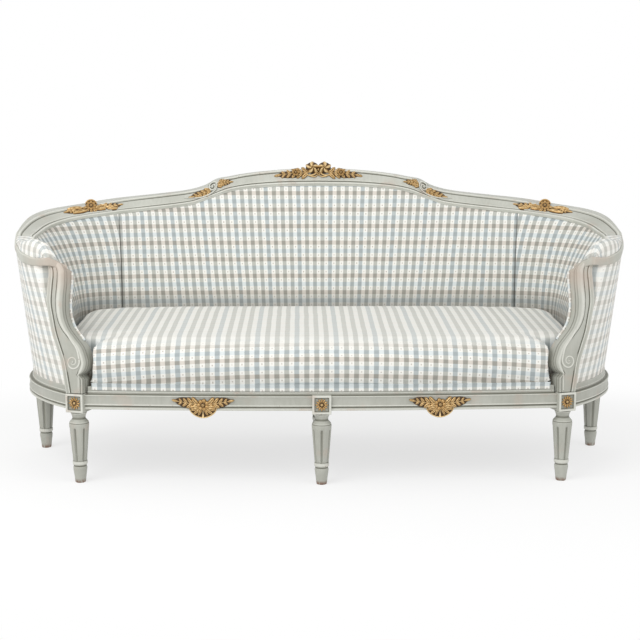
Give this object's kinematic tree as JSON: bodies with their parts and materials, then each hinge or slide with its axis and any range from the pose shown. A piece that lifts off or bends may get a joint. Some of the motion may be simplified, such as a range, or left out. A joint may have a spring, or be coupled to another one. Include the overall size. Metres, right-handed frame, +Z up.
{
  "type": "cabriole sofa",
  "caption": "Cabriole sofa with a painted and gilded carved frame, a back that curves round into scrolled arms, a tight seat and check upholstery.",
  "frame": {"origin": "on the floor under the middle of the whole piece's box", "axes": "+X to the right seen from the front, along the length; -Y towards the front; +Z up"},
  "size_m": [1.976, 0.794, 0.9677],
  "materials": {
    "painted_wood": "matt grey-green paint, rubbed at the edges",
    "gilt_carving": "carved wood, gilded and worn",
    "check_cloth": "woven cotton check in cream, grey, taupe and pale blue",
    "bare_wood": "unpainted beech",
    "jute": "woven jute",
    "dark_cloth": "thin lining cloth"
  },
  "bodies": {
    "root": {"front_rail_left": "painted_wood", "front_rail_right": "painted_wood", "side_rail_left": "painted_wood", "side_rail_right": "painted_wood", "back_rail_left": "painted_wood", "back_rail_right": "painted_wood", "seat_cross_rail": "bare_wood", "front_left_leg": "painted_wood", "front_middle_leg": "painted_wood", "front_right_leg": "painted_wood", "rear_left_leg": "painted_wood", "rear_middle_leg": "painted_wood", "rear_right_leg": "painted_wood", "left_rosette": "gilt_carving", "middle_rosette": "gilt_carving", "right_rosette": "gilt_carving", "arm_post_left": "painted_wood", "arm_post_right": "painted_wood", "arm_rail_left": "painted_wood", "arm_rail_right": "painted_wood", "crest_rail_left": "painted_wood", "crest_rail_right": "painted_wood", "crest_rail_middle": "painted_wood", "arm_pad_left": "check_cloth", "arm_pad_right": "check_cloth", "inside_back": "check_cloth", "inside_arm_left": "check_cloth", "inside_arm_right": "check_cloth", "outside_back": "check_cloth", "outside_arm_left": "check_cloth", "outside_arm_right": "check_cloth", "seat_cushion": "check_cloth", "seat_webbing": "jute", "seat_hessian": "jute", "dust_cover": "dark_cloth", "back_upright_left": "bare_wood", "back_upright_right": "bare_wood", "back_upright_middle": "bare_wood", "side_upright_left": "bare_wood", "side_upright_right": "bare_wood", "tacking_rail_left": "bare_wood", "tacking_rail_right": "bare_wood", "tacking_rail_back": "bare_wood", "corner_blocks": "bare_wood", "crest_carving": "gilt_carving", "shoulder_carving_left": "gilt_carving", "shoulder_carving_right": "gilt_carving", "corner_carving_left": "gilt_carving", "corner_carving_right": "gilt_carving", "apron_carving_left": "gilt_carving", "apron_carving_right": "gilt_carving"}
  },
  "joints": []
}
